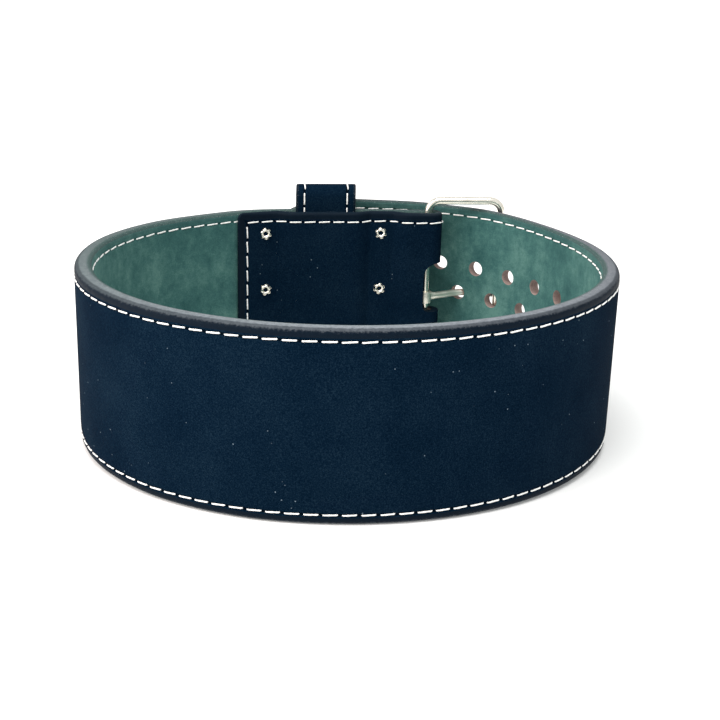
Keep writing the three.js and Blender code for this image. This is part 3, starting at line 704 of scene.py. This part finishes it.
def stitch_counts(row, pitch, chosen, turn):
    """Length along a stitch line, counted in stitches, for every outline place, and the whole count.

    Only the chosen stretches are stitched, with a whole number of stitches on each side of the turn.
    """
    line = POINT_GRID[:, row]
    steps = np.where(chosen, np.linalg.norm(np.roll(line, -1, axis=0) - line, axis=1), 0)
    sides = []
    for side in (steps[:turn], steps[turn:]):
        if side.sum():
            side = side / side.sum() * round(side.sum() / pitch)
        sides.append(side)
    counts = np.concatenate([[0], np.cumsum(np.concatenate(sides))])
    return counts, round(counts[-1])


def clear_of_corners():
    """True where the outer stitch row runs clear of the flap's corners."""
    reach = STITCH_INSET + END_ROW_DROP
    clear = []
    for kind, value in STATIONS:
        if kind == "end":
            clear.append(reach < value < HEIGHT - reach)
        else:
            clear.append(kind == "nose" or (kind in ("lower", "upper") and value < strip.length - reach))
    return np.array(clear)


FLAP_TURN = [kind for kind, _ in STATIONS].index("end")
OUTER_COUNTS, OUTER_COUNT = stitch_counts(OUTER_ROW, OUTER_PITCH, clear_of_corners(), FLAP_TURN)
ON_LINING = S_GRID[:, INNER_ROW] < LINING_END - 1
INNER_COUNTS, INNER_COUNT = stitch_counts(INNER_ROW, INNER_PITCH, ON_LINING & np.roll(ON_LINING, -1), 0)


def hole_cutters():
    """The punched holes with softened mouths."""
    parts = []
    reach = HOLE / 2
    mouth = ((0.5, -2), (0.28, -0.05), (0.08, 0.3), (0, 0.8))
    for i in range(-HOLES_TOWARDS_TIP, HOLES_TOWARDS_FRONT + 1):
        lower = PRONG_HOLE_S + i * HOLE_PITCH
        for s, height in ((lower, MID - HOLE_ROW_OFFSET), (lower - HOLE_PITCH / 2, MID + HOLE_ROW_OFFSET)):
            thick = float(strip_thickness(s))
            profile = [(reach + flare, -z) for flare, z in mouth] + [(reach, -thick / 2)]
            profile += [(reach + flare, z - thick) for flare, z in mouth[::-1]]
            points, faces = lathe(profile, 36)
            parts.append((world(put_across(points, s, height)), faces))
    return gather(parts)


def slot_outline(left):
    """The prong's slot: a wide round corner above, a tighter one below, open past the fold."""
    right = BAR_SLIDE + BAR_SPACE / 2 + LEAF + 4
    half = SLOT_HEIGHT / 2
    outline = [(right, -half), (right, half)]
    for start, corner, up in ((math.pi / 2, SLOT_CORNER, 1), (math.pi, SLOT_CORNER / 2, -1)):
        for k in range(13):
            a = start + math.pi / 2 * k / 12
            outline.append((left + corner + corner * math.cos(a),
                            up * (half - corner) + corner * math.sin(a)))
    return np.array(outline)


def slot_cutter():
    """The slot through both leaves, closer round the eye at the flap's face."""
    round_eye = -(WIRE / 2 + CLEARANCE + PRONG_EYE_WALL + CLEARANCE)
    at_face = round_eye + 2.4
    reach = BAR_SPACE / 2
    steps = ((LEAF + reach + 1, round_eye), (-reach, round_eye), (-reach - LEAF, at_face),
             (-reach - LEAF - 1, at_face))
    rings = []
    for out, left in steps:
        outline = slot_outline(left)
        plan = HEEL_BAR + outline[:, :1] * BAR_TANGENT + BAR_NORMAL * out
        rings.append(np.column_stack([plan, MID + outline[:, 1]]))
    points, faces = sweep(rings)
    return world(points), faces


def build_strap():
    """Core and skins as one piece with its painted edge, holes and slot."""
    count, steps = S_GRID.shape
    face_count = len(FACE_INSETS)
    faces, kinds, uvs = [], [], []
    for j in range(count):
        nxt = (j + 1) % count
        for k in range(steps - 1):
            faces.append((j * steps + k, nxt * steps + k, nxt * steps + k + 1, j * steps + k + 1))
            inset = (INSET_GRID[j, k] + INSET_GRID[j, k + 1]) / 2
            outer = k < steps / 2
            if outer:
                kind = 0 if inset > OUTER_PAINT else 1
            elif inset > INNER_PAINT or k >= steps - face_count:
                kind = 2 if min(S_GRID[j, k], S_GRID[nxt, k]) < LINING_END else 3
            else:
                kind = 1
            kinds.append(kind)
            corners = ((j, k), (nxt, k), (nxt, k + 1), (j, k + 1))
            if kind == 1:
                uvs += [(S_GRID[at] / 1000, SHARE_GRID[at]) for at in corners]
            else:
                counts = OUTER_COUNTS if outer else INNER_COUNTS
                uvs += [(counts[j + (at[0] != j)], INSET_GRID[at]) for at in corners]
    strap = add_mesh("strap", world(POINT_GRID.reshape(-1, 3)), faces, [NAVY, EDGE, GREEN, RAW], kinds, uvs,
                     merge=1e-5)
    cutters = []
    for name, (points, cutter_faces), wall in (("holes", hole_cutters(), RAW), ("slot", slot_cutter(), EDGE)):
        cutter = add_mesh(name, points, cutter_faces, [wall])
        cut = strap.modifiers.new(name, "BOOLEAN")
        cut.operation = "DIFFERENCE"
        cut.solver = "EXACT"
        cut.material_mode = "TRANSFER"
        cut.object = cutter
        cutters.append(cutter)
    bake_modifiers(strap)
    for cutter in cutters:
        bpy.data.objects.remove(cutter)
    return strap


def bake_modifiers(obj):
    """Keeps what the modifiers made as the object's own mesh."""
    graph = bpy.context.evaluated_depsgraph_get()
    made = bpy.data.meshes.new_from_object(obj.evaluated_get(graph), preserve_all_data_layers=True,
                                           depsgraph=graph)
    obj.modifiers.clear()
    obj.data = made
    shade(made, 32)


# Stitches

def stitch_shape(rng):
    """One stitch of twisted thread along +X, its ends diving into the leather; +Z is out of the face."""
    sides, steps = 10, 17
    t = np.linspace(-1, 1, steps)
    length = STITCH_LENGTH * (1 + rng.uniform(-0.03, 0.03))
    x = t * length / 2
    rise = 0.3 * (1 - np.abs(t) ** 8) - 0.85 * np.abs(t) ** 14
    rise += rng.uniform(-0.03, 0.03)
    angle = round_angles(sides)
    rings = []
    for xi, zi, ti in zip(x, rise, t):
        size = THREAD / 2 * (1 - 0.4 * abs(ti) ** 8)
        lobes = 1 + 0.07 * np.cos(2 * (angle - xi * 0.9))
        rings.append(np.stack([np.full(sides, xi), size * lobes * np.cos(angle) * 1.08,
                               zi + size * lobes * np.sin(angle) * 0.9], -1))
    return rings


def lay_stitch(middle, along, out, rng):
    """One stitch, from its middle, its heading and the way out of the leather."""
    out = unit(out - along * (out @ along))
    axes = np.stack([along, np.cross(out, along), out])
    points, faces = sweep([middle + ring @ axes for ring in stitch_shape(rng)])
    return world(points), faces


def heading_along(at, reach, counts, line):
    """Which way a stitch line runs, from the places a share of a stitch behind and ahead."""
    return unit(interpolate(at + reach, counts, line) - interpolate(at - reach, counts, line))


def stitches_along(name, row, counts, total, inner, rng):
    """White stitches on one stitch line of the strap."""
    side = -1 if inner else 1
    line, by_edge, inside = (np.concatenate([POINT_GRID[:, k], POINT_GRID[:1, k]])
                             for k in (row, row + side, row - 3 * side))
    centres = np.arange(total) + 0.5
    here = interpolate(centres, counts, line)
    along = heading_along(centres, 0.35, counts, line)
    across = unit(interpolate(centres, counts, by_edge) - interpolate(centres, counts, inside))
    out = unit(np.cross(across, along)) * side
    parts = []
    for i in range(total):
        slant = STITCH_SLANT + rng.uniform(-SLANT_SPREAD, SLANT_SPREAD)
        parts.append(lay_stitch(here[i], unit(along[i] - across[i] * slant * side), out[i], rng))
    verts, faces = gather(parts)
    return add_mesh(name, verts, faces, [THREAD_FINISH])


# Rivets, buckle and prong

def petal_burst():
    """Six curled petals round an open bore, +Z out of the face that they lie on."""
    parts = []
    across, steps = 7, 9
    for k in range(6):
        middle = math.pi / 3 * k
        upper, lower = [], []
        for i in range(steps):
            t = i / (steps - 1)
            for j in range(across):
                side = 2 * j / (across - 1) - 1
                half = math.radians(29) * (1 - 0.06 * t) * (1 - 0.5 * max(0, t - 0.55) ** 1.3 * 2)
                angle = middle + side * half
                reach = 1.45 + (2.45 - 0.45 * side**2 * t) * t
                curl = (0.25 + 0.75 * math.sin(math.pi * min(1, t * 1.12)) ** 0.8 - 0.5 * t * t
                        + 0.16 * (1 - side**2))
                point = (reach * math.cos(angle), reach * math.sin(angle), max(curl, 0.05))
                upper.append(point)
                lower.append((point[0], point[1], point[2] - 0.42))
        points = np.array(upper + lower)
        faces = []
        off = steps * across
        for i in range(steps - 1):
            for j in range(across - 1):
                a = i * across + j
                faces.append((a, a + 1, a + across + 1, a + across))
                faces.append((off + a, off + a + across, off + a + across + 1, off + a + 1))
        rim = (list(range(across)) + [i * across + across - 1 for i in range(1, steps)]
               + [(steps - 1) * across + j for j in range(across - 2, -1, -1)]
               + [i * across for i in range(steps - 2, 0, -1)])
        for a, b in zip(rim, rim[1:] + rim[:1]):
            faces.append((a, off + a, off + b, b))
        parts.append((points, faces))
    tube = [(1.9, -0.6), (1.85, 0.15), (1.62, 0.42), (1.42, 0.3), (1.38, -0.4), (1.36, -2.6), (0.0, -2.7)]
    parts.append(lathe(tube, 24, caps=False))
    return gather(parts)


def rivet_cap():
    """A domed cap with a small rolled rim, +Z out."""
    r, h = RIVET_CAP / 2, RIVET_CAP_HEIGHT
    profile = [(r * 0.86, 0.05), (r * 0.98, 0.12), (r, 0.32), (r * 0.97, 0.52), (r * 0.9, 0.68)]
    profile += [(r * 0.86 * math.cos(a), 0.66 + (h - 0.62) * math.sin(a))
                for a in np.linspace(0.08, math.pi / 2, 9)]
    return lathe(profile, 36, caps=False)


def build_rivets():
    """Six rivets: a cap outside, and petals on the flap at its thickest place under them."""
    cap_points, cap_faces = rivet_cap()
    burst, petal_faces = petal_burst()
    made = []
    for from_bar in RIVET_COLUMNS:
        s = run.length - from_bar
        spread = from_bar + RIVET_PETAL_SPREAD / 2 * np.array([-1, 1])
        grip = float(folded_depth(spread).max())
        for row in (1, 0, -1):
            index = len(made) + 1
            height = RIVET_MIDDLE_ROW + row * RIVET_ROW_SPACING
            c, sn = math.cos(0.35 * index), math.sin(0.35 * index)
            petals = burst @ np.array([[c, sn, 0], [-sn, c, 0], [0, 0, 1]])
            petals = petals * np.array([1, 1, -1]) - np.array([0, 0, grip - 0.05])
            verts, faces = gather([(world(put_across(cap_points, s, height)), cap_faces),
                                   (world(put_across(petals, s, height)), petal_faces)])
            obj = add_mesh(f"rivet_{index}_fine", verts, faces, [NICKEL], merge=1e-6)
            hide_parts(f"rivet_{index}")
            made.append(obj)
    return made


def build_frame():
    """The buckle's round-wire frame."""
    low, high = WIRE / 2 - FRAME_DROP, FRAME_TOP - WIRE / 2
    direction = unit(TOE_BAR - HEEL_BAR)
    along = np.array([direction[0], direction[1], 0])
    across = np.array([direction[1], -direction[0], 0])
    rings = []
    angle = round_angles(24)
    corners = ((0, low, 180), (FRAME_LENGTH, low, 270), (FRAME_LENGTH, high, 0), (0, high, 90))
    for x, y, start in corners:
        cx = x + (FRAME_CORNER if x == 0 else -FRAME_CORNER)
        cy = y + (FRAME_CORNER if y == low else -FRAME_CORNER)
        for i in range(13):
            a = math.radians(start + 90 * i / 12)
            nx, ny = math.cos(a), math.sin(a)
            centre = np.array([HEEL_BAR[0], HEEL_BAR[1], cy + FRAME_CORNER * ny])
            centre = centre + along * (cx + FRAME_CORNER * nx)
            outward = along * nx + np.array([0, 0, ny])
            turned = np.cos(angle)[:, None] * outward + np.sin(angle)[:, None] * across
            rings.append(centre + WIRE / 2 * turned)
    points, faces = sweep(rings, looped=True)
    return add_mesh("buckle_frame_fine", world(points), faces, [NICKEL])


def centripetal(points, count):
    """Even points on the smooth curve through some points."""
    points = np.asarray(points, float)
    first = 2 * points[0] - points[1]
    last = 2 * points[-1] - points[-2]
    full = np.concatenate([[first], points, [last]])
    out = []
    for i in range(1, len(full) - 2):
        p0, p1, p2, p3 = full[i - 1:i + 3]
        dt0, dt1, dt2 = (max(np.linalg.norm(b - a), 1e-6) ** 0.5 for a, b in ((p0, p1), (p1, p2), (p2, p3)))
        m1 = ((p1 - p0) / dt0 - (p2 - p0) / (dt0 + dt1) + (p2 - p1) / dt1) * dt1
        m2 = ((p2 - p1) / dt1 - (p3 - p1) / (dt1 + dt2) + (p3 - p2) / dt2) * dt1
        out += [hermite(p1, p2, m1, m2, t) for t in np.arange(40) / 40]
    out.append(full[-2])
    curve = Track(out)
    return curve.place(np.linspace(0, curve.length, count))


def build_prong():
    """The prong, bent through its hole to rest on the toe bar, with its rolled eye on the heel bar."""
    height = MID - HOLE_ROW_OFFSET + float(lift(PRONG_HOLE_S))
    radius = PRONG / 2
    place, tangent, _ = run.at(PRONG_HOLE_S)
    start = unit(place - HEEL_BAR)
    exit_place, _, exit_normal = run.at(PRONG_HOLE_S + HOLE / 2 + 3.5)
    on_bar = TOE_BAR + TOE_NORMAL * (WIRE / 2 + CLEARANCE + radius)
    route = np.array([
        HEEL_BAR + start * (WIRE / 2 + CLEARANCE + PRONG_EYE_WALL / 2),
        HEEL_BAR + start * PRONG_HOLE_FROM_BAR * 0.55,
        place + tangent * 0.5,
        exit_place + exit_normal * (HALF + CLEARANCE + radius),
        on_bar,
        on_bar + TOE_TANGENT * PRONG_OVERHANG - TOE_NORMAL * 0.5,
    ])
    line = centripetal(route, 64)
    heading = unit(np.gradient(line, axis=0))
    side = np.stack([heading[:, 1], -heading[:, 0], np.zeros(len(line))], -1)
    angle = round_angles(20)
    rings = []
    for i, share in enumerate(np.linspace(0, 1, len(line))):
        blunt = math.sqrt(max(1 - min(max((share - 0.93) / 0.07, 0), 1) ** 2 * 0.97, 0))
        flat = 1 + 0.28 * float(smooth(share, 0.1, 0.0))
        ring = (side[i] * np.cos(angle)[:, None] * radius * blunt * (2 - flat)
                + np.array([0, 0, 1]) * np.sin(angle)[:, None] * radius * blunt * flat)
        rings.append(np.array([line[i][0], line[i][1], height]) + ring)
    rod = sweep(rings)
    inner, outer, half = WIRE / 2 + 0.12, WIRE / 2 + CLEARANCE + PRONG_EYE_WALL, PRONG_EYE_HEIGHT / 2
    eye_side = ((inner, 0.3), (inner + 0.3, 0), (outer - 0.5, 0), (outer - 0.12, 0.2), (outer, 0.6))
    eye_profile = [(r, -half + z) for r, z in eye_side] + [(r, half - z) for r, z in eye_side[::-1]]
    eye_points, eye_faces = lathe([*eye_profile, eye_profile[0]], 40, caps=False)
    eye_points = eye_points + np.array([HEEL_BAR[0], HEEL_BAR[1], height])
    verts, faces = gather([(world(rod[0]), rod[1]), (world(eye_points), eye_faces)])
    return add_mesh("prong_fine", verts, faces, [SATIN_NICKEL], merge=1e-7)


# The keeper

def tip_reach(place, tangent, normal, height):
    """How far out the free tip's outer face comes inside the keeper, at a height."""
    s = np.arange(TIP_ROUND / 3, TOE_S, 1.0)
    offset = strip_point(s, 0, height)[:, :2] - place
    close = np.abs(offset @ tangent) <= KEEPER_WIDTH / 2
    return float((offset @ normal)[close].max())


def keeper_path():
    """The keeper's closed outline: (distance out, height) pairs with their outward directions."""
    place, tangent, normal = run.at(run.length - KEEPER_FROM_BAR)
    half = KEEPER_THICKNESS / 2
    spare = KEEPER_PLAY + half
    low = -((place + normal * KEEPER_INNER_LEAF)[1] + LOOP_DEPTH / 2) * math.tan(TILT) + half
    corners = np.array([
        (KEEPER_INNER_LEAF, low),
        (KEEPER_INNER_LEAF, HEIGHT + KEEPER_RISE + 1.5),
        (tip_reach(place, tangent, normal, HEIGHT) + spare, HEIGHT + TIP_LIFT + spare + 1.5),
        (tip_reach(place, tangent, normal, 0) + spare, low),
    ])
    bends = []
    for i, corner in enumerate(corners):
        before = unit(corners[i - 1] - corner)
        after = unit(corners[(i + 1) % 4] - corner)
        half_angle = math.acos(np.clip(before @ after, -1, 1)) / 2
        centre = corner + unit(before + after) * KEEPER_BEND / math.sin(half_angle)
        trim = KEEPER_BEND / math.tan(half_angle)
        bends.append((centre, corner + before * trim - centre, corner + after * trim - centre))
    outline = []
    for (centre, first, last), (next_centre, next_first, _) in zip(bends, bends[1:] + bends[:1]):
        turn = math.atan2(first[0] * last[1] - first[1] * last[0], first @ last)
        for a in turn * np.arange(11) / 10:
            turned = np.array([first[0] * math.cos(a) - first[1] * math.sin(a),
                               first[0] * math.sin(a) + first[1] * math.cos(a)])
            outline.append((centre + turned, unit(turned)))
        start, end = centre + last, next_centre + next_first
        count = max(2, int(np.linalg.norm(end - start) / 4))
        outline += [(start + (end - start) * k / count, unit(last)) for k in range(1, count)]
    return outline, place, tangent, normal


def keeper_section():
    """The band's cross section as (across, out) pairs, and a material's number for each of its sides.

    It has an outer face with stitch grooves, an edge, a bare underside and an edge.
    """
    width, thick, edge = KEEPER_WIDTH / 2, KEEPER_THICKNESS / 2, 1.0
    outer = [(-width + e, thick - 0.3 * math.exp(-((e - STITCH_INSET) / 0.8) ** 2)) for e in
             (1.6, 3.2, 4.4, 5.0, 5.6, 6.2, 6.8, 8.2, 12)]
    outer += [(0, thick)] + [(-x, y) for x, y in outer[::-1]]
    right = [(width - edge + edge * math.sin(a), thick - edge + edge * math.cos(a))
             for a in np.radians((20, 45, 70, 90))]
    right += [(width - edge + edge * math.cos(a), -(thick - edge) - edge * math.sin(a))
              for a in np.radians((0, 20, 45, 70))]
    under = [(x, -thick) for x in (width - 2.5, width / 2, 0, -width / 2, -width + 2.5)]
    left = [(-x, y) for x, y in right[::-1]]
    kinds = [0] * (len(outer) - 1) + [1] * (len(right) + 1) + [2] * len(under) + [1] * len(left)
    return outer + right + under + left, kinds


def build_keeper():
    """The keeper's band and its two rows of stitches."""
    outline, place, tangent, normal = keeper_path()
    points = np.array([p for p, _ in outline])
    outs = np.array([o for _, o in outline])
    steps = np.linalg.norm(np.roll(points, -1, axis=0) - points, axis=1)
    total = steps.sum()
    count = round(total / KEEPER_PITCH)
    counts = np.concatenate([[0], np.cumsum(steps)]) / total * count
    width = KEEPER_WIDTH / 2

    def on_keeper(local, x):
        plan = place + normal * local[0] + tangent * (x + (local[0] - KEEPER_INNER_LEAF) * KEEPER_SKEW)
        return np.array([plan[0], plan[1], local[1]])

    def turned(direction):
        return np.array([normal[0] * direction[0], normal[1] * direction[0], direction[1]])

    dark_edge = (EDGE_TONES_SPAN, 0.5)
    section, section_kinds = keeper_section()
    verts, faces = sweep([[on_keeper(p + o * y, x) for x, y in section] for p, o in outline], looped=True)
    kinds, uvs = section_kinds * len(outline), []
    for i in range(len(outline)):
        a, b = counts[i], counts[i + 1]
        for j, kind in enumerate(section_kinds):
            e = [width - abs(section[m][0]) for m in (j, (j + 1) % len(section))]
            uvs += [dark_edge] * 4 if kind == 1 else [(a, e[0]), (a, e[1]), (b, e[1]), (b, e[0])]
    keeper = add_mesh("keeper_fine", world(verts), faces, [NAVY, EDGE, RAW], kinds, uvs)

    rng = np.random.default_rng(5)
    loop = np.concatenate([points, points[:1]])
    out_loop = np.concatenate([outs, outs[:1]])
    parts = []
    for side in (-1, 1):
        for c in np.arange(count) + 0.5:
            out = unit(interpolate(c, counts, out_loop))
            local = interpolate(c, counts, loop) + out * (KEEPER_THICKNESS / 2 - 0.3)
            middle = on_keeper(local, side * (width - STITCH_INSET))
            along = heading_along(c, 0.3, counts, loop)
            parts.append(lay_stitch(middle, turned(along), turned(out), rng))
    verts, faces = gather(parts)
    return keeper, add_mesh("keeper_stitches", verts, faces, [THREAD_FINISH])


# All the pieces

strap = build_strap()
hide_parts("strap_core", "outer_suede", "lining_suede")
rng = np.random.default_rng(11)
outer_stitches = stitches_along("outer_stitches", OUTER_ROW, OUTER_COUNTS, OUTER_COUNT, False, rng)
inner_stitches = stitches_along("inner_stitches", INNER_ROW, INNER_COUNTS, INNER_COUNT, True, rng)
rivets = build_rivets()
buckle = build_frame()
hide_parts("buckle_frame")
prong = build_prong()
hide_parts("prong")
keeper, keeper_stitches = build_keeper()
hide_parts("keeper_loop")
for piece in [strap, outer_stitches, inner_stitches, buckle, prong, keeper, keeper_stitches, *rivets]:
    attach(piece, "root")


# The stage

def build_floor():
    """A pale floor, matt, and lit from within further out so that it stays white to the horizon."""
    n = Nodes("floor")
    far = n.add("ShaderNodeVectorMath", operation="LENGTH")
    n.link(n.place, far.inputs[0])
    n.set(base=(0.82, 0.83, 0.82), rough=0.9, specular=0.05, glow=(1, 1, 0.99),
          glow_strength=n.span(far.outputs["Value"], 0.15, 0.5, 0.12, 0.42))
    points = [(x * FLOOR_REACH, y * FLOOR_REACH, 0) for x, y in ((-1, -1), (1, -1), (1, 1), (-1, 1))]
    floor = add_mesh("floor", points, [(0, 1, 2, 3)], [n.material], flip_check=False)


def build_light(name, place, target, size, power, colour=(1, 1, 1)):
    data = bpy.data.lights.new(name, "AREA")
    data.shape = "RECTANGLE"
    data.size, data.size_y = size
    data.energy = power
    data.color = colour
    light = bpy.data.objects.new(name, data)
    light.location = place
    light.rotation_euler = (Vector(target) - Vector(place)).to_track_quat("-Z", "Y").to_euler()
    bpy.context.scene.collection.objects.link(light)
    return light


def build_world(strength):
    space = bpy.data.worlds.new("studio")
    space.use_nodes = True
    background = space.node_tree.nodes["Background"]
    background.inputs[0].default_value = (1, 1, 1, 1)
    background.inputs[1].default_value = strength
    bpy.context.scene.world = space


def build_camera():
    data = bpy.data.cameras.new("camera")
    data.sensor_width = 36
    data.sensor_fit = "HORIZONTAL"
    data.lens = CAMERA_LENS
    camera = bpy.data.objects.new("camera", data)
    pitch = math.radians(90 - CAMERA_DOWN) + TILT
    turn = Matrix.Rotation(pitch, 4, "X") @ Matrix.Rotation(math.radians(CAMERA_ROLL), 4, "Z")
    camera.matrix_world = Matrix.Translation(world(CAMERA_PLACE)) @ turn
    bpy.context.scene.collection.objects.link(camera)
    bpy.context.scene.camera = camera


bpy.context.scene.view_settings.view_transform = "Standard"
build_floor()
build_world(0.8)
build_light("key", (-1.3, -0.6, 0.9), (0, 0, 0.04), (1.6, 1.6), 30, (1, 0.88, 0.84))
build_light("top", (0.0, -0.5, 1.5), (0, 0.05, 0.05), (0.8, 0.8), 16)
build_camera()
